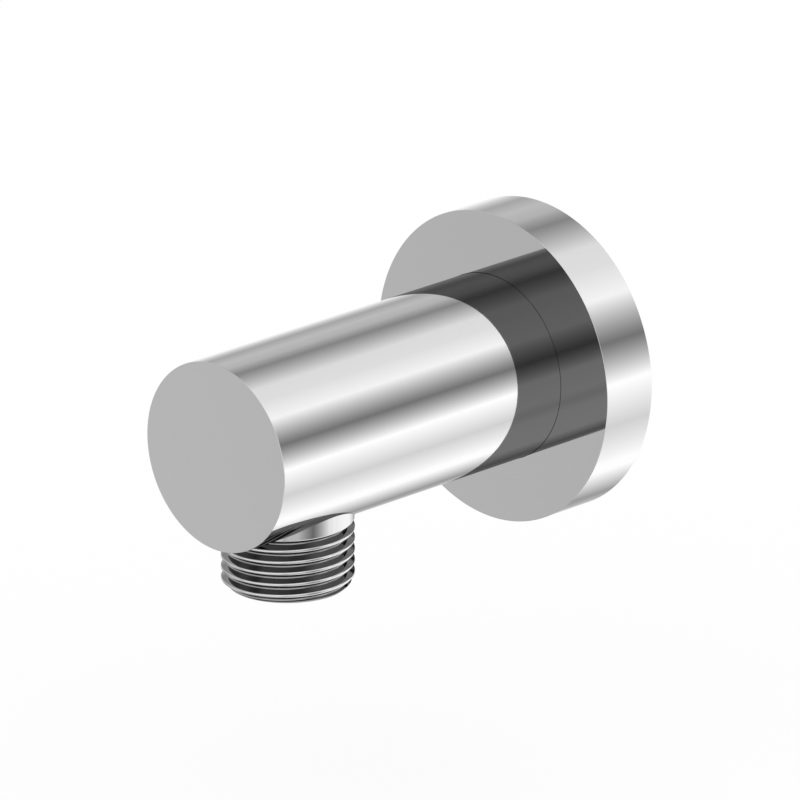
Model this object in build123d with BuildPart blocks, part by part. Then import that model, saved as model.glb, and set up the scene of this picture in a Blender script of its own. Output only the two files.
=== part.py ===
from build123d import *
from math import atan, cos, degrees, radians, sqrt, tan
import os

# A wall outlet elbow for a shower hose. A round barrel stands straight out of a cover flange on the
# wall, takes water through the threaded inlet in its rear end, and turns it down into the threaded
# outlet for the hose. The origin is the centre of the flange's wall face. +Y goes into the wall, the
# barrel runs along -Y into the room, and the outlet points down, along -Z. Sizes are in millimetres.

# Outside
projection = 70.0
barrel_diameter = 30.0
flange_diameter = 50.0
flange_depth = 10.0
outlet_setback = 15.3
outlet_reach = 24.2
edge_break = 0.1

# Pipe thread G 1/2: 14 turns to the inch, flanks at 55 degrees, small flats at crest and root
thread_pitch = 25.4 / 14
thread_half_angle = 27.5
thread_crest_flat = 0.45
thread_root_flat = 0.3

# Outlet thread, cut into the neck
outlet_thread_diameter = 20.67
outlet_thread_length = 10.2
outlet_end_chamfer = 1.1
lead_in_turns = 0.55
runout_turns = 0.35
cutter_overrun = 0.15

# Inlet hole, bored to the crests of its thread
inlet_hole_diameter = 18.8
inlet_thread_diameter = 20.96
inlet_thread_length = 12.0
inlet_relief_diameter = 21.4
inlet_relief_width = 2.4
inlet_mouth_relief = 0.2

# Waterway through the barrel
waterway_diameter = 12.0
drill_point_angle = 118.0

# Hidden rear end of the barrel
wall_gap = 1.0
flats_across = 27.0
flats_length = 5.0

# Joint between the barrel and the outlet nipple
spigot_diameter = 16.0
spigot_length = 5.0
spigot_bore = 11.0
spigot_end_gap = 0.2
spigot_chamfer = 0.5
spigot_clearance = 0.05
neck_clearance = 0.03
seat_cover = 0.5

# Hexagon socket for the fitting key
key_across_flats = 12.0
key_depth = 8.0
key_mouth_chamfer = 0.4

# Cover flange
flange_clearance = 0.05
flange_front_wall = 2.8
flange_rim_wall = 2.6
hub_wall = 3.4
hub_length = 4.2
flange_ring_setback = 0.9

# O-rings: the thickness of each, and the room left round it
flange_ring_section = 1.8
nipple_ring_section = 1.4
ring_side_room = 0.2
ring_clearance = 0.02

# Wall gasket in the rebate of the flange
gasket_thickness = 2.0
gasket_width = 4.0
gasket_rebate = 1.3
gasket_clearance = 0.1

# Places worked out from the sizes above
barrel_radius = barrel_diameter / 2
flange_radius = flange_diameter / 2
neck_radius = outlet_thread_diameter / 2
spigot_radius = spigot_diameter / 2
outlet_y = outlet_setback - projection
outlet_end_z = -outlet_reach
outlet_axis = Axis((0, outlet_y, 0), (0, 0, 1))
outlet_plane = Plane(origin=(0, outlet_y, 0), x_dir=(0, 1, 0), z_dir=(1, 0, 0))
neck_socket_radius = neck_radius + neck_clearance
tapped_radius = spigot_radius + spigot_clearance
seat_z = seat_cover - sqrt(barrel_radius**2 - neck_socket_radius**2)
tapped_end_z = seat_z + spigot_length + spigot_end_gap
nipple_ring_room = nipple_ring_section + 2 * ring_clearance
hub_bore_radius = barrel_radius + flange_clearance
hub_outer_radius = hub_bore_radius + hub_wall
flange_ring_room_radius = barrel_radius + flange_ring_section + 2 * ring_clearance
flange_ring_front_y = flange_ring_setback - flange_depth
flange_ring_rear_y = flange_ring_front_y + flange_ring_section + 2 * ring_side_room
flange_ring_y = (flange_ring_front_y + flange_ring_rear_y) / 2
rim_inner_radius = flange_radius - flange_rim_wall
rebate_radius = rim_inner_radius + gasket_rebate


def groove_section(start, outward, across, flat, depth):
    """One groove of a thread, in the plane through the thread's axis: its flat bottom is centred on
    the start of the helix, and its flanks open outward."""
    half_flat = flat / 2
    half_mouth = half_flat + depth * tan(radians(thread_half_angle))
    with BuildSketch(Plane(origin=start, x_dir=outward, z_dir=across)) as section:
        with BuildLine():
            Polyline((0, -half_flat), (0, half_flat), (depth, half_mouth), (depth, -half_mouth), close=True)
        make_face()
    return section.sketch


# Elbow body: a bar with a blind front, drilled from the rear and from below
with BuildPart() as elbow_body:
    with BuildSketch(Plane.XZ.offset(wall_gap)):
        Circle(barrel_radius)
    extrude(amount=projection - wall_gap)
    fillet(elbow_body.edges().sort_by(Axis.Y)[0], edge_break)
    chamfer(elbow_body.edges().sort_by(Axis.Y)[-1], edge_break)

    # Spanner flats on both sides of the rear end, under the flange
    with BuildSketch(Plane.XZ.offset(wall_gap)):
        Circle(flange_radius)
        Rectangle(flats_across, flange_diameter, mode=Mode.SUBTRACT)
    extrude(amount=flats_length, mode=Mode.SUBTRACT)

    # Inlet hole with its thread relief, and the waterway, bored from the rear
    inlet_hole_radius = inlet_hole_diameter / 2
    inlet_relief_radius = inlet_relief_diameter / 2
    inlet_mouth_radius = inlet_thread_diameter / 2 + inlet_mouth_relief
    inlet_mouth_end_y = inlet_hole_radius - inlet_mouth_radius - wall_gap
    inlet_thread_end_y = -wall_gap - inlet_thread_length
    inlet_relief_end_y = inlet_thread_end_y - inlet_relief_width
    waterway_radius = waterway_diameter / 2
    waterway_end_y = outlet_y - spigot_bore / 2
    drill_point_y = waterway_end_y - waterway_radius / tan(radians(drill_point_angle / 2))
    with BuildSketch(Plane.XY):
        with BuildLine():
            Polyline(
                (0, -wall_gap),
                (inlet_mouth_radius, -wall_gap),
                (inlet_hole_radius, inlet_mouth_end_y),
                (inlet_hole_radius, inlet_thread_end_y),
                (inlet_relief_radius, inlet_thread_end_y),
                (inlet_relief_radius, inlet_relief_end_y),
                (waterway_radius, inlet_relief_end_y),
                (waterway_radius, waterway_end_y),
                (0, drill_point_y),
                close=True,
            )
        make_face()
    revolve(axis=Axis.Y, mode=Mode.SUBTRACT)

    # Outlet port: a socket for the neck, a recess for its O-ring, the tapped hole and the way through
    nipple_recess_radius = tapped_radius + nipple_ring_room
    nipple_recess_end_z = seat_z + nipple_ring_room
    with BuildSketch(outlet_plane):
        with BuildLine():
            Polyline(
                (0, -barrel_diameter),
                (neck_socket_radius, -barrel_diameter),
                (neck_socket_radius, seat_z),
                (nipple_recess_radius, seat_z),
                (nipple_recess_radius, nipple_recess_end_z),
                (tapped_radius, nipple_recess_end_z),
                (tapped_radius, tapped_end_z),
                (spigot_bore / 2, tapped_end_z),
                (spigot_bore / 2, 0),
                (0, 0),
                close=True,
            )
        make_face()
    revolve(axis=outlet_axis, mode=Mode.SUBTRACT)

# Outlet nipple: a turned piece with a spigot, a smooth neck and the hose thread
with BuildPart() as outlet_nipple:
    spigot_end_z = seat_z + spigot_length
    outlet_face_radius = neck_radius - outlet_end_chamfer
    with BuildSketch(outlet_plane):
        with BuildLine():
            Polyline(
                (spigot_bore / 2, spigot_end_z),
                (spigot_radius - spigot_chamfer, spigot_end_z),
                (spigot_radius, spigot_end_z - spigot_chamfer),
                (spigot_radius, seat_z),
                (neck_radius, seat_z),
                (neck_radius, outlet_end_z + outlet_end_chamfer),
                (outlet_face_radius, outlet_end_z),
                (spigot_bore / 2, outlet_end_z),
                close=True,
            )
        make_face()
    revolve(axis=outlet_axis)

    # Hexagon socket for the fitting key, with a chamfered mouth
    with BuildSketch(Plane(origin=(0, outlet_y, outlet_end_z))):
        RegularPolygon(key_across_flats / 2, 6, major_radius=False)
    extrude(amount=key_depth, mode=Mode.SUBTRACT)
    key_mouth = outlet_nipple.faces().sort_by(Axis.Z)[0].inner_wires()[0]
    chamfer(key_mouth.edges(), key_mouth_chamfer)

    # Hose thread: the helix starts below the end face and stops round the far side of the neck
    thread_flats = thread_crest_flat + thread_root_flat
    thread_depth = (thread_pitch - thread_flats) / tan(radians(thread_half_angle)) / 2
    outlet_root_radius = neck_radius - thread_depth
    outlet_groove_depth = thread_depth + cutter_overrun
    outlet_helix_start_z = outlet_end_z - thread_pitch * lead_in_turns
    outlet_helix_height = outlet_thread_length + thread_pitch * lead_in_turns
    with BuildLine() as outlet_helix:
        Helix(
            pitch=thread_pitch,
            height=outlet_helix_height,
            radius=outlet_root_radius,
            center=(0, outlet_y, outlet_helix_start_z),
        )
    outlet_start = outlet_helix.line @ 0
    outlet_outward = Vector(1, 0, 0)
    outlet_across = Vector(0, 1, 0)
    outlet_groove = groove_section(
        outlet_start, outlet_outward, outlet_across, thread_root_flat, outlet_groove_depth
    )
    sweep(outlet_groove, path=outlet_helix.line, is_frenet=True, mode=Mode.SUBTRACT)

    # Runout: over the last part of a turn the groove climbs out of the neck on a widening helix
    runout_rise = thread_pitch * runout_turns
    runout_angle = atan((outlet_groove_depth + cutter_overrun) / runout_rise)
    with BuildLine() as runout_helix:
        Helix(
            pitch=thread_pitch / cos(runout_angle),
            height=runout_rise,
            radius=outlet_root_radius,
            center=(0, outlet_y, outlet_helix_start_z + outlet_helix_height),
            cone_angle=degrees(runout_angle),
        )
    thread_end_angle = 360 * outlet_helix_height / thread_pitch
    runout_path = runout_helix.line.rotate(outlet_axis, thread_end_angle)
    runout_outward = outlet_outward.rotate(Axis.Z, thread_end_angle)
    runout_across = outlet_across.rotate(Axis.Z, thread_end_angle)
    runout_groove = groove_section(
        runout_path @ 0, runout_outward, runout_across, thread_root_flat, outlet_groove_depth
    )
    sweep(runout_groove, path=runout_path, is_frenet=True, mode=Mode.SUBTRACT)

# Nipple O-ring, between the spigot and the recess in the barrel
with BuildPart() as nipple_o_ring:
    with BuildSketch(outlet_plane):
        with Locations((tapped_radius + nipple_ring_room / 2, seat_z + nipple_ring_room / 2)):
            Circle(nipple_ring_section / 2)
    revolve(axis=outlet_axis)

# Cover flange: a turned cup with a front plate, a hub that holds the O-ring, and a gasket rebate
with BuildPart() as wall_flange:
    flange_inside_y = flange_front_wall - flange_depth
    hub_end_y = hub_length - flange_depth
    with BuildSketch(Plane.XY):
        with BuildLine():
            Polyline(
                (hub_bore_radius, -flange_depth),
                (flange_radius, -flange_depth),
                (flange_radius, 0),
                (rebate_radius, 0),
                (rebate_radius, -gasket_thickness),
                (rim_inner_radius, -gasket_thickness),
                (rim_inner_radius, flange_inside_y),
                (hub_outer_radius, flange_inside_y),
                (hub_outer_radius, hub_end_y),
                (hub_bore_radius, hub_end_y),
                close=True,
            )
        make_face()
        with BuildLine():
            Polyline(
                (hub_bore_radius, flange_ring_front_y),
                (flange_ring_room_radius, flange_ring_front_y),
                (flange_ring_room_radius, flange_ring_rear_y),
                (hub_bore_radius, flange_ring_rear_y),
                close=True,
            )
        make_face(mode=Mode.SUBTRACT)
    revolve(axis=Axis.Y)
    rim_edges = wall_flange.edges().filter_by(GeomType.CIRCLE).group_by(SortBy.RADIUS)[-1]
    fillet(rim_edges, edge_break)

# Flange O-ring, between the barrel and the groove in the hub
with BuildPart() as flange_o_ring:
    with BuildSketch(Plane.XY):
        with Locations((barrel_radius + ring_clearance + flange_ring_section / 2, flange_ring_y)):
            Circle(flange_ring_section / 2)
    revolve(axis=Axis.Y)

# Wall gasket, level with the rear edge of the flange
with BuildPart() as wall_gasket:
    gasket_radius = rebate_radius - gasket_clearance
    with BuildSketch(Plane.XZ):
        Circle(gasket_radius)
        Circle(gasket_radius - gasket_width, mode=Mode.SUBTRACT)
    extrude(amount=gasket_thickness)

elbow_body.part.label = "elbow_body"
outlet_nipple.part.label = "outlet_nipple"
nipple_o_ring.part.label = "nipple_o_ring"
wall_flange.part.label = "wall_flange"
flange_o_ring.part.label = "flange_o_ring"
wall_gasket.part.label = "wall_gasket"

os.makedirs("parts", exist_ok=True)
export_step(elbow_body.part, "parts/elbow_body.step")
export_step(outlet_nipple.part, "parts/outlet_nipple.step")
export_step(nipple_o_ring.part, "parts/nipple_o_ring.step")
export_step(wall_flange.part, "parts/wall_flange.step")
export_step(flange_o_ring.part, "parts/flange_o_ring.step")
export_step(wall_gasket.part, "parts/wall_gasket.step")
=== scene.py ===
# %% [markdown]
# # A chrome wall outlet elbow
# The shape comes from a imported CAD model. This script dresses it: it turns the visible brass parts
# again on a finer mesh, cuts their threads, gives every part its metal or rubber, and sets up the
# studio that polished chrome needs round it. Everything stays in the CAD model's own frame: the
# wall is the plane y = 0, the barrel runs along -Y into the room, and the hose outlet points down.

from math import ceil, cos, floor, pi, radians, sin, tan

import bmesh
import bpy
from mathutils import Matrix, Vector


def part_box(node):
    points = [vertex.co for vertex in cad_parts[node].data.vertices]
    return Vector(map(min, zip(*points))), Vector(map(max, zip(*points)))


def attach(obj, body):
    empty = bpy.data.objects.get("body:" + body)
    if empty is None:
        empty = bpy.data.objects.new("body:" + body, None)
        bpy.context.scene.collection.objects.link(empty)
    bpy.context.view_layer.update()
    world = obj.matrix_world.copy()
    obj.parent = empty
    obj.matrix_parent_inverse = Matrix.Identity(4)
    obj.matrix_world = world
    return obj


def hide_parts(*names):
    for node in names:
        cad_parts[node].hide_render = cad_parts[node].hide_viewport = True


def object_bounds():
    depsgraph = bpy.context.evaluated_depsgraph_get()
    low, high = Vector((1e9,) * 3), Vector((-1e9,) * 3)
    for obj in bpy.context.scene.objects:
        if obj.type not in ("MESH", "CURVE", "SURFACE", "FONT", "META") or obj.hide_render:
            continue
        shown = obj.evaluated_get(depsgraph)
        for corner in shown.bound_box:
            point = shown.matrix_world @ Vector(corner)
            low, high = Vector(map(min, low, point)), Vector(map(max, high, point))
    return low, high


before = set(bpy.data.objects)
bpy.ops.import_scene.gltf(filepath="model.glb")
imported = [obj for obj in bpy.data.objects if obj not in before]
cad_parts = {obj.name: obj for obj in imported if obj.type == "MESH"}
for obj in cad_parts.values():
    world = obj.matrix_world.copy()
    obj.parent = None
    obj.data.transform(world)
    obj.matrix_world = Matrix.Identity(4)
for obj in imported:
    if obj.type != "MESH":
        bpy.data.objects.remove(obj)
cad_low, cad_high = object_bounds()
MM = 0.001
print("parts in the frame:", sorted(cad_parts))

# %% [markdown]
# ## The view
# The camera stands in front of the wall, to the right and a little above, with a very long lens, so
# the barrel hardly tapers. A short lens close by would show the same framing with more taper, so
# the distance and the focal length are chosen together.

# %% Camera
view_turn = radians(44.894)
view_height = radians(19.278)
view_distance = 1.4978
look_at = Vector((0.00268, -0.03296, 0.00075))

ahead = Vector((
    -sin(view_turn) * cos(view_height),
    cos(view_turn) * cos(view_height),
    -sin(view_height),
))
camera_data = bpy.data.cameras.new("camera")
camera_data.sensor_width = 36
camera_data.lens = 436.9
camera = bpy.data.objects.new("camera", camera_data)
camera.rotation_mode = "QUATERNION"
camera.rotation_quaternion = ahead.to_track_quat("-Z", "Y")
camera.location = look_at - ahead * view_distance
bpy.context.scene.collection.objects.link(camera)
bpy.context.scene.camera = camera
bpy.context.scene.view_settings.view_transform = "Standard"
print("camera stands at", [round(v, 3) for v in camera.location])

# %% [markdown]
# ## The studio
# Polished chrome has no colour of its own: what it shows is the room. A barrel along Y mirrors the
# room as a ring, so soft grey strips that run along Y turn into clean lengthwise bands. The strips
# could be grey cards with lamps between them, but each card would need its own place and size.
# Here they are painted into the world by their angle about the Y axis, which needs no objects. All
# of it is plain arithmetic on directions, so it starts with a few helpers for Math nodes.

# %% Node helpers
def node(tree, kind, **settings):
    """Adds one node and sets what is given: its own properties, or its inputs by name."""
    made = tree.nodes.new(kind)
    for name, value in settings.items():
        if hasattr(made, name):
            setattr(made, name, value)
        else:
            made.inputs[name].default_value = value
    return made


def calc(tree, operation, *values):
    """A Math node. Numbers are set on it, and sockets are linked to it."""
    made = node(tree, "ShaderNodeMath", operation=operation)
    for socket, value in zip(made.inputs, values):
        if isinstance(value, (int, float)):
            socket.default_value = value
        else:
            tree.links.new(value, socket)
    return made.outputs[0]


def between(tree, factor, first, second):
    """A number that goes from the first to the second as the factor goes from 0 to 1."""
    return calc(tree, "MULTIPLY_ADD", calc(tree, "SUBTRACT", second, first), factor, first)


def rise(tree, value, start, end):
    """0 before start, 1 past end, and a smooth step between them."""
    made = node(tree, "ShaderNodeMapRange", interpolation_type="SMOOTHSTEP")
    made.inputs["From Min"].default_value = start
    made.inputs["From Max"].default_value = end
    tree.links.new(value, made.inputs["Value"])
    return made.outputs[0]


def slopes(tree, value, stops):
    """A number that runs straight from one stop to the next. Each stop is a place between 0 and 1,
    and the number there."""
    made = node(tree, "ShaderNodeValToRGB")
    marks = made.color_ramp.elements
    while len(marks) < len(stops):
        marks.new(0.5)
    for mark, (place, level) in zip(marks, stops):
        mark.position = place
    for mark, (place, level) in zip(marks, stops):
        mark.color = (level, level, level, 1)
    tree.links.new(value, made.inputs[0])
    return made.outputs[0]


# %% [markdown]
# ## Strips round the barrel
# The greys are given as they look on the screen: 0 is black and 1 is white. A strip that fades
# evenly to the eye has a crease where two slopes meet, and such creases are what makes chrome look
# hard. So the slopes are drawn in screen greys, and turned into light at the very end. Places and
# greys were given, and then tuned until the bands on the barrel met those of the picture.

# %% Ring of strips
world = bpy.data.worlds.new("studio")
bpy.context.scene.world = world
world.use_nodes = True
sky = world.node_tree
sky.nodes.clear()
direction = node(sky, "ShaderNodeSeparateXYZ")
sky.links.new(node(sky, "ShaderNodeTexCoord").outputs["Generated"], direction.inputs[0])
east, wallward, up = direction.outputs

# Each stop: the side of the barrel on which this camera finds it, in degrees from +X up towards
# +Z, and its grey. The mirror doubles the angle, so half a turn of the barrel shows the whole ring.
ring_stops = [
    (-64, 0.97), (-56, 0.74), (-48, 0.61), (-31, 1.02), (-27, 1.02), (-10, 0.84),
    (6, 1.03), (21, 0.46), (37, 0.98), (49, 0.89), (58, 0.88), (73, 0.53),
    (80, 0.71), (87, 0.75), (96, 0.66), (108, 0.94), (116, 0.97),
]
camera_side = 26.4  # the side that faces the camera, in the same degrees
first_side = ring_stops[0][0]
ring_start = radians(2 * first_side - camera_side)
angle = calc(sky, "SUBTRACT", calc(sky, "ARCTAN2", up, east), ring_start)
turn = calc(sky, "FRACT", calc(sky, "DIVIDE", angle, 2 * pi))
ring = slopes(sky, turn, [((side - first_side) / 180, level) for side, level in ring_stops])
print("the ring of the room runs through", len(ring_stops), "greys")

# %% [markdown]
# ## A window and a dark floor
# Each crest of the hose thread is a small rounded mirror that sees most of the room at once. A
# bright window at the right and a dark floor near the front give it a light line above and a dark
# one below. A real lamp would light the paper as well, so these two are painted into the world too.
# The window stays clear of what the barrel mirrors, in this view and square from the side.

# %% Window and dark floor
def zone(tree, *edges):
    """1 inside a zone of the room and 0 outside. Each edge is a value, where the zone starts to
    fade in on it, and where it is full."""
    steps = [rise(tree, *edge) for edge in edges]
    inside = steps[0]
    for step in steps[1:]:
        inside = calc(tree, "MULTIPLY", inside, step)
    return inside


window_grey, window_share = 0.98, 0.7
floor_grey, floor_share = 0.3, 0.8
window = zone(
    sky,
    (calc(sky, "ABSOLUTE", wallward), 0.12, 0.3),  # leaves the middle of the room free
    (wallward, 0.58, 0.5),  # and the far end
    (east, -0.1, 0.15),  # lies at the right
    (up, -0.2, 0.0),  # starts a little below eye level
    (up, 0.6, 0.35),  # and ends well below the ceiling
)
dark_floor = zone(sky, (wallward, -0.1, -0.35), (up, -0.55, -0.75))
room = between(sky, calc(sky, "MULTIPLY", window, window_share), ring, window_grey)
room = between(sky, calc(sky, "MULTIPLY", dark_floor, floor_share), room, floor_grey)
print("the window has a grey of", window_grey, "and the floor one of", floor_grey)

# %% [markdown]
# ## A belt round the room
# A little below eye level a belt runs round the room. The flat faces and the upright neck of the
# outlet mirror only this belt, so it sets their grey: an even one in front, a dark one at the sides,
# which the neck shows as one dark stripe, and white at the far end. It makes way for the strips
# where the barrel finds them.

# %% Belt
belt_height, belt_core, belt_edge = -0.33, 0.09, 0.22
barrel_view, gap_core, gap_edge = 0.667, 0.025, 0.075

# places from the near end of the room, -1, to the far end, 1
belt_stops = [
    (-0.80, 0.85), (-0.72, 0.67), (-0.65, 0.73), (-0.42, 0.72), (0, 0.41), (0.5, 0.91), (0.94, 1.0),
]
half_way = calc(sky, "MULTIPLY_ADD", wallward, 0.5, 0.5)
belt = slopes(sky, half_way, [(0.5 + place / 2, level) for place, level in belt_stops])
off_belt = calc(sky, "ABSOLUTE", calc(sky, "SUBTRACT", up, belt_height))
off_barrel = calc(sky, "ABSOLUTE", calc(sky, "SUBTRACT", wallward, barrel_view))
on_belt = zone(sky, (off_belt, belt_edge, belt_core), (off_barrel, gap_core, gap_edge))
room = between(sky, on_belt, room, belt)
print("the belt lies at a height of", belt_height, "in the directions of the room")

# %% [markdown]
# ## The ends of the room
# Strips that run along the barrel would meet in a star at both ends of the room. So the far end is
# plain white, and the near end a plain light grey. The far corner on the left is darker, which
# greys the right edge of the neck.

# %% Ends of the room
far_white, near_light, corner_shade = 0.99, 0.85, 0.4
room = between(sky, rise(sky, wallward, 0.86, 0.97), room, far_white)
room = between(sky, rise(sky, wallward, -0.84, -0.95), room, near_light)
far_corner = zone(sky, (east, 0.1, -0.6), (wallward, 0.75, 0.85))
room = between(sky, calc(sky, "MULTIPLY", far_corner, corner_shade), room, 0)
print("the ends of the room have greys of", near_light, "and", far_white)

# %% [markdown]
# ## Mirror images of mirror images
# Light that is mirrored a second time, such as the barrel seen in the flange, has lost most of its
# strength in the picture. Real chrome does so because it mirrors about two thirds. Here the first
# mirror image is near white, so the loss is set by the number of mirrors passed, Glossy Depth. The
# loss isn't even: the barrel in the flange shows the near end of the room, and the thread's grooves
# show all of it, so each part of the room keeps its own share.

# %% Light left by the mirrors
left_by_mirror = 0.2
eye_level_share, lost_upward = 0.93, 0.28
near_share, middle_share = 1.0, 0.7
far_low_share, far_high_share = 0.55, 1.9

light_path = node(sky, "ShaderNodeLightPath")
mirrors = calc(sky, "SUBTRACT", calc(sky, "MAXIMUM", light_path.outputs["Glossy Depth"], 1), 1)
seen_again = calc(sky, "MINIMUM", mirrors, 1)
by_height = calc(sky, "MULTIPLY_ADD", up, -lost_upward, eye_level_share)
far_share = between(sky, rise(sky, up, -0.65, -0.5), far_low_share, far_high_share)
by_depth = between(sky, rise(sky, wallward, -0.62, -0.48), near_share, middle_share)
by_depth = between(sky, rise(sky, wallward, -0.3, 0.3), by_depth, far_share)
share = between(sky, seen_again, 1, calc(sky, "MULTIPLY", by_height, by_depth))
strength = calc(sky, "MULTIPLY", calc(sky, "POWER", left_by_mirror, mirrors), share)
print("a second mirror leaves about", left_by_mirror, "of the light")

# %% [markdown]
# ## From greys to light
# A grey that looks half way to white gives only about a fifth of white's light, so the greys pass
# through the screen's own curve. Second mirror images show the plain ring, without the belt and
# the window, and never quite white. Only mirrored rays find all this. Rays that come straight from
# the camera, or that rubber and paper scatter, find a plain white room.

# %% World shader
brightest_again = 0.905
curve_offset, curve_power = 0.055, 2.4
shown = between(sky, seen_again, room, calc(sky, "MINIMUM", ring, brightest_again))
lifted = calc(sky, "MULTIPLY_ADD", shown, 1 / (1 + curve_offset), curve_offset / (1 + curve_offset))
light = calc(sky, "POWER", lifted, curve_power)

in_metal = node(sky, "ShaderNodeBackground")
sky.links.new(light, in_metal.inputs["Color"])
sky.links.new(strength, in_metal.inputs["Strength"])
plain = node(sky, "ShaderNodeBackground", Strength=1.0)
plain.inputs["Color"].default_value = (1, 1, 1, 1)
by_ray = node(sky, "ShaderNodeMixShader")
sky.links.new(light_path.outputs["Is Glossy Ray"], by_ray.inputs[0])
sky.links.new(plain.outputs[0], by_ray.inputs[1])
sky.links.new(in_metal.outputs[0], by_ray.inputs[2])
sky.links.new(by_ray.outputs[0], node(sky, "ShaderNodeOutputWorld").inputs["Surface"])
print("the room is white to the eye and striped to the metal")

# %% [markdown]
# ## Turned parts
# The barrel, the flange and the outlet are turned on a lathe from brass bar. Blender's Screw
# modifier or Spin would turn a profile too, but a thread and a hexagon socket change as they go
# round. So the outline here may hold, in place of a plain point, a function of the angle. Doubled
# points at the seam and on the axis are merged at the end, which leaves one closed skin.

# %% Lathe
same_point = 1e-5


def as_object(name, bm):
    """Makes an object of a finished bmesh."""
    mesh = bpy.data.meshes.new(name)
    bm.to_mesh(mesh)
    bm.free()
    made = bpy.data.objects.new(name, mesh)
    bpy.context.scene.collection.objects.link(made)
    return made


def turned(name, outline, place, columns):
    """Turns an outline of (radius, height) points in millimetres round the axis of a place."""
    bm = bmesh.new()
    rows = []
    for point in outline:
        row = []
        for i in range(columns + 1):
            angle = 2 * pi * i / columns
            radius, height = point(angle) if callable(point) else point
            row.append(bm.verts.new((radius * cos(angle), radius * sin(angle), height)))
        rows.append(row)
    for low, high in zip(rows, rows[1:] + rows[:1]):
        for i in range(columns):
            bm.faces.new((low[i], low[i + 1], high[i + 1], high[i]))
    bmesh.ops.remove_doubles(bm, verts=bm.verts, dist=same_point)
    bmesh.ops.recalc_face_normals(bm, faces=bm.faces)
    bm.transform(place @ Matrix.Scale(MM, 4))
    made = as_object(name, bm)
    print(name, "has", len(made.data.polygons), "faces")
    return made


def rounded(before, corner, after, radius, steps=4):
    """The points of a small arc in place of a corner of an outline."""
    before, corner, after = Vector(before), Vector(corner), Vector(after)
    one, two = (before - corner).normalized(), (after - corner).normalized()
    half = one.angle(two) / 2
    centre = corner + (one + two).normalized() * radius / sin(half)
    start = (corner + one * radius / tan(half) - centre).normalized()
    end = (corner + two * radius / tan(half) - centre).normalized()
    return [tuple(centre + start.slerp(end, i / steps) * radius) for i in range(steps + 1)]


# %% [markdown]
# ## Cutting and finishing
# A side hole or a tapped hole isn't turned about the same axis, so it is cut with a Boolean, as a
# drill would. Smooth shading then needs care: on polished metal a wrong normal is seen at once. The
# angle limit keeps real edges sharp, and Weighted Normal lets the large faces win over thin ones.

# %% Boolean cut and smooth shading
sharp_from = radians(24)
large_face_weight = 100


def bake(piece):
    """Puts the result of the modifiers into the mesh."""
    bpy.context.view_layer.update()
    evaluated = piece.evaluated_get(bpy.context.evaluated_depsgraph_get())
    mesh = bpy.data.meshes.new_from_object(evaluated)
    mesh.name = piece.name
    piece.modifiers.clear()
    piece.data = mesh


def cut(piece, tool):
    """Takes the tool's shape out of the piece and throws the tool away."""
    modifier = piece.modifiers.new("cut", "BOOLEAN")
    modifier.operation = "DIFFERENCE"
    modifier.solver = "EXACT"
    modifier.object = tool
    bake(piece)
    print(tool.name, "leaves the", piece.name, "with", len(piece.data.polygons), "faces")
    bpy.data.objects.remove(tool)


def finish_turned(piece, node_name):
    """Shades a piece, and puts it in place of its CAD node."""
    piece.data.shade_smooth()
    piece.data.set_sharp_from_angle(angle=sharp_from)
    weighted = piece.modifiers.new("weighted normals", "WEIGHTED_NORMAL")
    weighted.keep_sharp = True
    weighted.weight = large_face_weight
    bake(piece)
    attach(piece, "root")
    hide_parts(node_name)
    print(piece.name, "stands for", node_name, "with", len(piece.data.polygons), "faces")


# %% [markdown]
# ## Threads
# Inlet and outlet carry the G 1/2 pipe thread: 14 turns to the inch, flanks at 55 degrees, and
# crests and roots that are slightly rounded by the die. A bump map would do from far away, but the
# crests stand out in the silhouette here, so the groove is real. Its rows follow the helix, so that
# each crest is one unbroken line of faces, and are clipped level at both ends.

# %% Thread
pitch = 25.4 / 14
half_flank = radians(27.5)
past_crest = 0.3
print("the thread climbs", round(pitch, 3), "mm a turn")


def groove(crest, depth, root_flat, root_round, crest_round):
    """Half of a groove's section, from its middle out: (distance across, radius)."""
    mouth = root_flat / 2 + depth * tan(half_flank)
    middle, bottom = (0, crest - depth), (root_flat / 2, crest - depth)
    edge, top = (mouth, crest), (pitch / 2, crest)
    root = rounded(middle, bottom, edge, root_round)
    return [middle] + root + rounded(bottom, edge, top, crest_round) + [top]


def thread_rows(section, start, low, high, last_turn=None, runout=0.35):
    """Rows of a right-hand thread between two heights, for an outline. The groove's middle passes
    the height start at angle 0. After last_turn turns it climbs out of the metal."""
    crest = section[-1][1]
    climb = crest - section[0][1] + past_crest

    def radius_at(angle, height):
        turns = (height - start) / pitch
        nearest = floor(turns - angle / (2 * pi) + 0.5)
        across = abs(turns - angle / (2 * pi) - nearest) * pitch
        for (x0, r0), (x1, r1) in zip(section, section[1:]):
            if across <= x1:
                break
        radius = r0 + (r1 - r0) * min((across - x0) / (x1 - x0), 1)
        if last_turn is not None:
            radius += climb * max(nearest + angle / (2 * pi) - last_turn, 0) / runout
        return min(radius, crest)

    def row(turn, across):
        def point(angle):
            height = start + pitch * (turn + angle / (2 * pi)) + across
            height = min(max(height, low), high)
            return radius_at(angle, height), height
        return point

    places = [corner[0] for corner in section]
    sides = [-place for place in reversed(places[1:])] + places[:-1]
    first = floor((low - start) / pitch) - 2
    last = ceil((high - start) / pitch) + 1
    return [row(turn, across) for turn in range(first, last) for across in sides]


# %% [markdown]
# ## The outlet
# A turned piece that screws into the barrel: smooth neck, hose thread, and a hexagon socket inside
# for the fitting key. One outline makes it all: up the outside with the thread's rows, over the
# spigot that sits hidden in the barrel, and down the inside, where the last rows are a hexagon. The
# end of the thread is broken at 45 degrees, and the cut shows how the groove runs into it.

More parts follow.
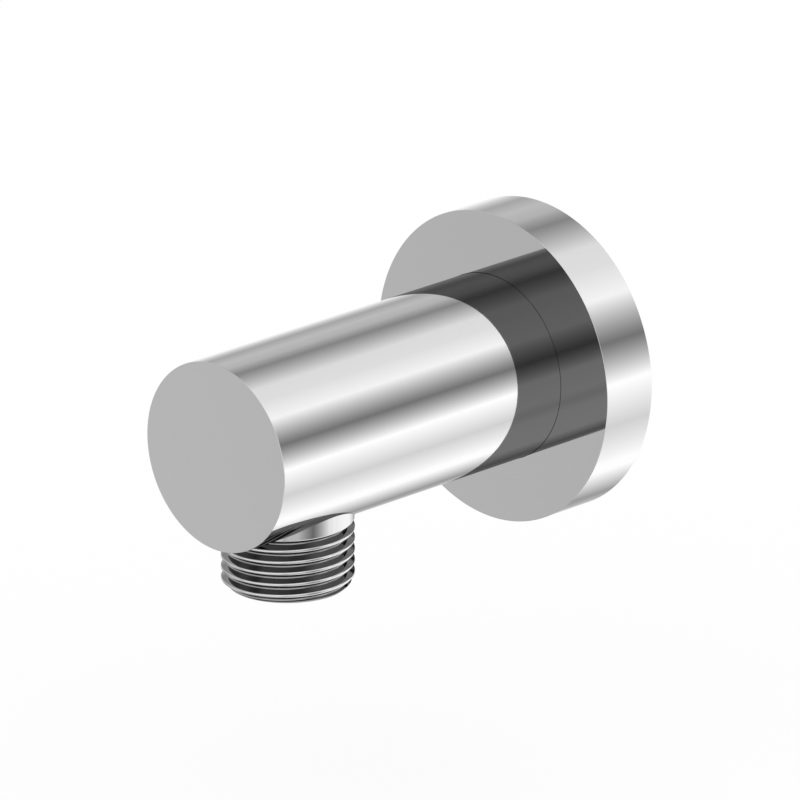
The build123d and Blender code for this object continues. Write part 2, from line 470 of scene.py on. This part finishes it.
# %% Outlet nipple
nipple_low, nipple_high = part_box("outlet_nipple")
outlet_y = (nipple_low.y + nipple_high.y) / 2
outlet_end = nipple_low.z / MM
spigot_end = nipple_high.z / MM
neck_radius = nipple_high.x / MM
spigot_radius, spigot_length, spigot_chamfer = 8.0, 5.0, 0.5
outlet_bore = 5.5
key_inradius, key_depth, key_mouth = 6.0, 8.0, 0.4
thread_depth, thread_top, thread_length = 1.022, -13.0, 10.2
lead_in = 0.55 * pitch
end_chamfer, tool_margin = 1.1, 0.5
seat = spigot_end - spigot_length
outlet_place = Matrix.Translation((0, outlet_y, 0))
outlet_columns = 240


def key_socket(height, wider=0.0):
    """A row of the hexagon socket at a height. Its flats face +X and -X."""
    def point(angle):
        from_flat = (angle + pi / 6) % (pi / 3) - pi / 6
        return (key_inradius + wider) / cos(from_flat), height
    return point


outlet_groove = groove(neck_radius, thread_depth, root_flat=0.36, root_round=0.29, crest_round=0.2)
outlet_turns = (thread_length + lead_in) / pitch
outlet = turned("outlet", [
    key_socket(outlet_end, key_mouth),
    *thread_rows(outlet_groove, outlet_end - lead_in, outlet_end, thread_top, last_turn=outlet_turns),
    (neck_radius, seat),
    (spigot_radius, seat),
    (spigot_radius, spigot_end - spigot_chamfer),
    (spigot_radius - spigot_chamfer, spigot_end),
    (outlet_bore, spigot_end),
    (outlet_bore, outlet_end + key_depth),
    key_socket(outlet_end + key_depth),
    key_socket(outlet_end + key_mouth),
], outlet_place, outlet_columns)

chamfer_tool = turned("chamfer_tool", [
    (neck_radius - end_chamfer - tool_margin, outlet_end - tool_margin),
    (neck_radius + tool_margin, outlet_end - tool_margin),
    (neck_radius + tool_margin, outlet_end + end_chamfer + tool_margin),
], outlet_place, outlet_columns)
cut(outlet, chamfer_tool)
finish_turned(outlet, "outlet_nipple")

# %% [markdown]
# ## The barrel
# A length of bar with a blind front face. It is turned with its inlet hole and waterway in one
# outline, and the port, the inlet thread and the flats are cut out of it in the next steps. The
# front edge is only just broken, because the picture shows it as one crisp line.

# %% Barrel
body_low, body_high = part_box("elbow_body")
barrel_radius = body_high.x / MM
front_y = body_low.y / MM
rear_y = body_high.y / MM
crisp, rear_break = 0.06, 0.1
waterway = 6.0
waterway_end = outlet_y / MM - outlet_bore
half_drill_tip = radians(59)
drill_point = waterway_end - waterway / tan(half_drill_tip)
mouth_radius, inlet_crest, inlet_root = 10.68, 9.4, 10.48
inlet_length, relief_length = 12.0, 14.4
inlet_end, relief_end = rear_y - inlet_length, rear_y - relief_length
relief_radius = 10.7

# the lathe's axis is Z, and this lays it along Y
barrel_place = Matrix(((1, 0, 0, 0), (0, 0, 1, 0), (0, -1, 0, 0), (0, 0, 0, 1)))

barrel = turned("barrel", [
    (0, front_y),
    *rounded((0, front_y), (barrel_radius, front_y), (barrel_radius, rear_y), crisp),
    (barrel_radius, rear_y - rear_break),
    (barrel_radius - rear_break, rear_y),
    (mouth_radius, rear_y),
    (inlet_crest, rear_y - mouth_radius + inlet_crest),
    (inlet_crest, inlet_end),
    (relief_radius, inlet_end),
    (relief_radius, relief_end),
    (waterway, relief_end),
    (waterway, waterway_end),
    (0, drill_point),
], barrel_place, 360)

# %% [markdown]
# ## The port for the outlet
# The outlet comes from below. Its neck stands in a spot-faced hole with a thin seam round it, the
# step above the seat holds an O-ring, and the narrower hole above that takes the spigot and leads on
# into the waterway. The cutter has this shape all in one, as a stepped drill has.

# %% Port
neck_gap, spigot_gap = 0.03, 0.05
recess_depth = 1.44
port_low, port_top = -30, spigot_end + 0.2
socket_radius = neck_radius + neck_gap
tapped_radius = spigot_radius + spigot_gap
recess_radius = tapped_radius + recess_depth
port = turned("port", [
    (0, port_low),
    (socket_radius, port_low),
    (socket_radius, seat),
    (recess_radius, seat),
    (recess_radius, seat + recess_depth),
    (tapped_radius, seat + recess_depth),
    (tapped_radius, port_top),
    (outlet_bore, port_top),
    (outlet_bore, 0),
    (0, 0),
], outlet_place, outlet_columns)
cut(barrel, port)

# %% [markdown]
# ## Inlet thread and spanner flats
# The barrel screws onto the pipe in the wall. Its inside thread is cut with a threaded rod, which
# works as a tap does, and two flats at the hidden end give a spanner its grip. The flats are milled
# after the turning, so two plain boxes are cut away.

# %% Inlet thread and spanner flats
inside_bore = 0.02
inlet_depth = inlet_root - inlet_crest + inside_bore
inlet_groove = groove(inlet_root, inlet_depth, root_flat=0.42, root_round=0.09, crest_round=0.09)
tap_start, tap_low, tap_top = inlet_end - 3, inlet_end - 1, rear_y + 0.5
tap = turned("tap", [
    (0, tap_low),
    *thread_rows(inlet_groove, tap_start, tap_low, tap_top),
    (0, tap_top),
], barrel_place, 192)
cut(barrel, tap)

flats_across, flats_length = 27.0, 5.0
cutter_thickness, cutter_height = 5, 40
for side in (-1, 1):
    cutter_middle = side * (flats_across + cutter_thickness) / 2
    bm = bmesh.new()
    bmesh.ops.create_cube(bm, size=1)
    bm.transform(Matrix.Diagonal((cutter_thickness, 2 * flats_length, cutter_height, 1)))
    bm.transform(Matrix.Translation((cutter_middle, rear_y, 0)))
    bm.transform(Matrix.Scale(MM, 4))
    cut(barrel, as_object("flat_cutter", bm))
finish_turned(barrel, "elbow_body")

# %% [markdown]
# ## The wall flange
# A shallow turned cup that hides the hole in the tiles. Its hub slides on the barrel over an
# O-ring, and a step inside its rear edge holds the flat gasket. Its front face and rim meet in an
# edge that is only just broken, so the corner reads as one crisp line.

# %% Flange
flange_low, flange_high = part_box("wall_flange")
flange_radius = flange_high.x / MM
face_y = flange_low.y / MM
barrel_gap, hub_wall, rim_wall = 0.05, 3.4, 2.6
plate_thickness, hub_length = 2.8, 4.2
rebate_width, rebate_depth = 1.3, 2.0
hole_radius = barrel_radius + barrel_gap
hub_radius = hole_radius + hub_wall
rim_inside = flange_radius - rim_wall
rebate_radius = rim_inside + rebate_width
inside_y = face_y + plate_thickness
hub_end = face_y + hub_length
ring_front, ring_rear, ring_radius = face_y + 0.9, face_y + 3.1, 16.84

flange = turned("flange", [
    (hole_radius, face_y),
    *rounded((hole_radius, face_y), (flange_radius, face_y), (flange_radius, 0), crisp),
    *rounded((flange_radius, face_y), (flange_radius, 0), (rebate_radius, 0), rear_break),
    (rebate_radius, 0),
    (rebate_radius, -rebate_depth),
    (rim_inside, -rebate_depth),
    (rim_inside, inside_y),
    (hub_radius, inside_y),
    (hub_radius, hub_end),
    (hole_radius, hub_end),
    (hole_radius, ring_rear),
    (ring_radius, ring_rear),
    (ring_radius, ring_front),
    (hole_radius, ring_front),
], barrel_place, 480)
finish_turned(flange, "wall_flange")

# %% [markdown]
# ## Where a point lies on a turned part
# Everything a lathe does to a part runs round its axis: the polishing lines, the tool marks in a
# bore, the depth of a groove. So the materials ask for a point's distance from that axis and its
# place along it. Both are worked out from Object coordinates, because a piece's own coordinates
# move with it, and no UV map is needed.

# %% Distance from the axis
lines_per_mm = 9


def round_axis(tree, axis, middle_y):
    """The distance from an axis along Y or Z, the place along it, and a vector that changes fast
    across the lines that a lathe leaves and slowly along them. All in millimetres."""
    place = node(tree, "ShaderNodeSeparateXYZ")
    tree.links.new(node(tree, "ShaderNodeTexCoord").outputs["Object"], place.inputs[0])
    x, y, z = [calc(tree, "MULTIPLY", socket, 1 / MM) for socket in place.outputs]
    y_off = calc(tree, "SUBTRACT", y, middle_y)
    side, along = (z, y_off) if axis == "Y" else (y_off, z)
    squares = calc(tree, "ADD", calc(tree, "MULTIPLY", x, x), calc(tree, "MULTIPLY", side, side))
    radius = calc(tree, "SQRT", squares)
    lines = node(tree, "ShaderNodeCombineXYZ")
    across = calc(tree, "MULTIPLY", calc(tree, "ADD", radius, along), lines_per_mm)
    tree.links.new(calc(tree, "DIVIDE", x, radius), lines.inputs[0])
    tree.links.new(calc(tree, "DIVIDE", side, radius), lines.inputs[1])
    tree.links.new(across, lines.inputs[2])
    return radius, along, lines.outputs[0]


# %% [markdown]
# ## Helpers for the finishes
# Every finish here is a Principled shader whose colour, roughness and bump follow a noise or a
# place. Painted maps could do the same, but they need unwrapping and would show their own grain up
# close, so each of these helpers adds one small step of nodes.

# %% Finish helpers
noise_range = (0.3, 0.7)


def surface(name, **settings):
    """A new material, its node tree and its Principled shader, with what is given set on it."""
    made = bpy.data.materials.new(name)
    made.use_nodes = True
    tree = made.node_tree
    tree.nodes.clear()
    shader = node(tree, "ShaderNodeBsdfPrincipled", **settings)
    tree.links.new(shader.outputs[0], node(tree, "ShaderNodeOutputMaterial").inputs["Surface"])
    return made, tree, shader


def blend(tree, factor, first, second):
    """A colour that goes from the first to the second as the factor goes from 0 to 1."""
    made = node(tree, "ShaderNodeMix", data_type="RGBA")
    # of its many sockets, 0 is the factor, and 6 and 7 are the two colours
    sockets = (made.inputs[0], made.inputs[6], made.inputs[7])
    for socket, value in zip(sockets, (factor, first, second)):
        if isinstance(value, tuple):
            socket.default_value = value
        else:
            tree.links.new(value, socket)
    return made.outputs[2]


def noise(tree, vector, scale, detail=2.0):
    """A noise between 0 and 1 at a place."""
    made = node(tree, "ShaderNodeTexNoise", Scale=scale, Detail=detail)
    tree.links.new(vector, made.inputs["Vector"])
    return made.outputs[0]


def spread(tree, value, low, high):
    """Moves a noise from the range where most of it lies to low to high."""
    made = node(tree, "ShaderNodeMapRange")
    for socket, number in zip(made.inputs[1:5], (*noise_range, low, high)):
        socket.default_value = number
    tree.links.new(value, made.inputs["Value"])
    return made.outputs[0]


def bumped(tree, shader, height, distance):
    """Gives a shader a bump of this height in millimetres."""
    made = node(tree, "ShaderNodeBump", Strength=1.0, Distance=distance * MM)
    tree.links.new(height, made.inputs["Height"])
    tree.links.new(made.outputs[0], shader.inputs["Normal"])


# %% [markdown]
# ## Polished chrome on brass
# The parts are brass, polished while they spin and then plated. On the outside that is an almost
# perfect mirror: only a faint hairline finish round the axis moves the roughness a little. The
# bath hardly reaches into a hole, so the bores and the inlet thread are left as bare brass with the
# marks of the boring tool, and the inside of the flange is plated over a rough turned face. Down in
# a thread groove the colour is darkened with painted shade, which makes the grooves darker than the
# crests. Each part could have a material for every such zone. One that asks where a point lies needs no
# borders in the mesh, and lets one finish fade into the next.

# %% Chrome and brass
bright_plating = (0.95, 0.95, 0.95, 1)
worn_plating = (0.935, 0.935, 0.935, 1)
# painted shade: the dark tint that darkens the thread grooves
groove_shade_tint = (0.46, 0.46, 0.46, 1)
rough_plating = (0.60, 0.60, 0.60, 1)
bare_brass = (0.72, 0.53, 0.27, 1)
mark_shade, mark_depth = 0.8, 0.03
hairline_roughness, inner_roughness = (0.02, 0.05), (0.16, 0.30)
half_fade = 0.1


def plated(name, axis, middle_y, inside_radius, fades, inner_tint, groove_radii=None):
    """Bright chrome outside, and a dull inner tint where a point is nearer to the axis than the
    inside radius and past every fade, each from a place where it starts to one where it is full.
    Between the two groove radii the colour goes from a painted groove shade to the bright chrome."""
    made, tree, metal = surface(name, Metallic=1.0)
    radius, along, lines = round_axis(tree, axis, middle_y)
    hairlines = noise(tree, lines, scale=1.0)
    outer = blend(tree, rise(tree, hairlines, *noise_range), worn_plating, bright_plating)
    # painted shade: below the thread's crests the colour darkens towards the groove's root
    if groove_radii:
        outer = blend(tree, rise(tree, radius, *groove_radii), groove_shade_tint, outer)

    inside = rise(tree, radius, inside_radius + half_fade, inside_radius - half_fade)
    for start, full in fades:
        inside = calc(tree, "MULTIPLY", inside, rise(tree, along, start, full))
    tool_marks = noise(tree, lines, scale=0.6, detail=4.0)
    shaded_tint = tuple(mark_shade * level for level in inner_tint[:3]) + (1,)
    inner = blend(tree, rise(tree, tool_marks, *noise_range), shaded_tint, inner_tint)

    tree.links.new(blend(tree, inside, outer, inner), metal.inputs["Base Color"])
    dullness = calc(tree, "MULTIPLY", inside, spread(tree, tool_marks, *inner_roughness))
    roughness = calc(tree, "ADD", spread(tree, hairlines, *hairline_roughness), dullness)
    tree.links.new(roughness, metal.inputs["Roughness"])
    bumped(tree, metal, calc(tree, "MULTIPLY", inside, tool_marks), mark_depth)
    return made


barrel_axis = ("Y", 0.0)
outlet_axis = ("Z", outlet_y / MM)
body_fades = [(rear_y - 1.5, rear_y - 4), (front_y + 4, front_y + 6)]
flange_fades = [(face_y + 1, face_y + 2)]
nipple_fades = [(outlet_end + 1, outlet_end + 4)]
thread_shade = (neck_radius - 0.12, neck_radius - 0.05)
body_chrome = plated("body_chrome", *barrel_axis, relief_radius + 0.2, body_fades, bare_brass)
flange_chrome = plated("flange_chrome", *barrel_axis, rim_inside + 0.2, flange_fades, rough_plating)
nipple_chrome = plated(
    "nipple_chrome", *outlet_axis, spigot_radius - 0.3, nipple_fades, bare_brass, thread_shade,
)
for piece, metal in ((barrel, body_chrome), (flange, flange_chrome), (outlet, nipple_chrome)):
    piece.data.materials.clear()
    piece.data.materials.append(metal)
    print(piece.name, "is finished in", metal.name)

# %% [markdown]
# ## Moulded rubber
# The two O-rings are moulded rubber, smooth and satin black, with a fine flash line where the
# halves of the mould met. They have the right shape in the CAD model, so they keep it and only get
# their material. The flash stands out by less than the width of a hair, so a bump is enough.

# %% Moulded rubber
def moulded_rubber(name, axis, middle_y, line_place):
    """Satin black rubber with a flash line at a place along its axis."""
    clean, bloomed = (0.018, 0.018, 0.019, 1), (0.034, 0.034, 0.035, 1)
    flash_edge, flash_core, flash_height = 0.08, 0.02, 0.04
    grain_share = 0.3
    made, tree, rubber = surface(name)
    place = node(tree, "ShaderNodeTexCoord").outputs["Object"]
    grain = noise(tree, place, scale=9000, detail=3.0)
    bloom = rise(tree, noise(tree, place, scale=700), 0.35, 0.75)
    tree.links.new(blend(tree, bloom, clean, bloomed), rubber.inputs["Base Color"])
    tree.links.new(spread(tree, grain, 0.38, 0.55), rubber.inputs["Roughness"])
    along = round_axis(tree, axis, middle_y)[1]
    off_line = calc(tree, "ABSOLUTE", calc(tree, "SUBTRACT", along, line_place))
    flash = rise(tree, off_line, flash_edge, flash_core)
    height = calc(tree, "ADD", flash, calc(tree, "MULTIPLY", grain, grain_share))
    bumped(tree, rubber, height, flash_height)
    return made


ring_low, ring_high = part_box("flange_o_ring")
seal_low, seal_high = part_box("nipple_o_ring")
ring_line = (ring_low.y + ring_high.y) / 2 / MM
seal_line = (seal_low.z + seal_high.z) / 2 / MM
rubbers = {
    "flange_o_ring": moulded_rubber("flange_seal_rubber", *barrel_axis, ring_line),
    "nipple_o_ring": moulded_rubber("nipple_seal_rubber", *outlet_axis, seal_line),
}
print("moulded rubber for", sorted(rubbers))

# %% [markdown]
# ## Sheet rubber, and the seals in place
# The gasket is cut flat from a softer cellular sheet, so it is duller and greyer and shows its
# small pores. A Voronoi texture scatters them, because it is dark round one point in each cell. The
# three seals then get their rubber in the slots that the CAD model gave them.

# %% Sheet rubber and seals
def cut_sheet_rubber(name):
    """Dull dark grey rubber with small pores."""
    dark_sheet, light_sheet = (0.040, 0.040, 0.042, 1), (0.058, 0.058, 0.060, 1)
    # painted shade: the pores get a darker colour as well as a sunken bump
    pore_shade_tint, pore_depth = (0.016, 0.016, 0.017, 1), 0.06
    made, tree, rubber = surface(name)
    place = node(tree, "ShaderNodeTexCoord").outputs["Object"]
    pores = node(tree, "ShaderNodeTexVoronoi", Scale=3200)
    tree.links.new(place, pores.inputs["Vector"])
    pore = rise(tree, pores.outputs["Distance"], 0.05, 0.45)
    patches = noise(tree, place, scale=260)
    sheet = blend(tree, rise(tree, patches, *noise_range), dark_sheet, light_sheet)
    tree.links.new(blend(tree, pore, pore_shade_tint, sheet), rubber.inputs["Base Color"])
    tree.links.new(spread(tree, patches, 0.72, 0.88), rubber.inputs["Roughness"])
    bumped(tree, rubber, pore, pore_depth)
    return made


rubbers["wall_gasket"] = cut_sheet_rubber("gasket_rubber")
for name, rubber in rubbers.items():
    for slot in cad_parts[name].material_slots:
        slot.material = rubber
    print(name, "is finished in", rubber.name)

# %% [markdown]
# ## The floor
# A plain sheet of white paper lies under the fitting, far enough below it that only a soft shadow
# reaches it. Paper lit by a white room is almost white by itself. To the camera it also glows, at
# a strength where 1 is white, so that it meets the white background without an edge.
# The chrome doesn't see it, because in the picture the strips of the room take its place.

# %% Paper floor
floor_drop, floor_reach = 0.035, 3.0
paper_glow = 0.8
floor_z = cad_low.z - floor_drop
corners = [(x * floor_reach, y * floor_reach, floor_z) for x, y in ((-1, -1), (1, -1), (1, 1), (-1, 1))]
floor_mesh = bpy.data.meshes.new("paper_floor")
floor_mesh.from_pydata(corners, [], [(0, 1, 2, 3)])
floor_sheet = bpy.data.objects.new("paper_floor", floor_mesh)
bpy.context.scene.collection.objects.link(floor_sheet)
floor_sheet.visible_glossy = False

paper = bpy.data.materials.new("white_paper")
paper.use_nodes = True
tree = paper.node_tree
tree.nodes.clear()
matt = node(tree, "ShaderNodeBsdfDiffuse", Color=(0.99, 0.99, 0.99, 1))
glow = node(tree, "ShaderNodeEmission", Color=(1, 1, 1, 1), Strength=1.0)
to_camera = node(tree, "ShaderNodeLightPath").outputs["Is Camera Ray"]
mixed = node(tree, "ShaderNodeMixShader")
tree.links.new(calc(tree, "MULTIPLY", to_camera, paper_glow), mixed.inputs[0])
tree.links.new(matt.outputs[0], mixed.inputs[1])
tree.links.new(glow.outputs[0], mixed.inputs[2])
tree.links.new(mixed.outputs[0], node(tree, "ShaderNodeOutputMaterial").inputs["Surface"])
floor_mesh.materials.append(paper)
print("the floor lies", round(floor_drop / MM), "mm below the flange")
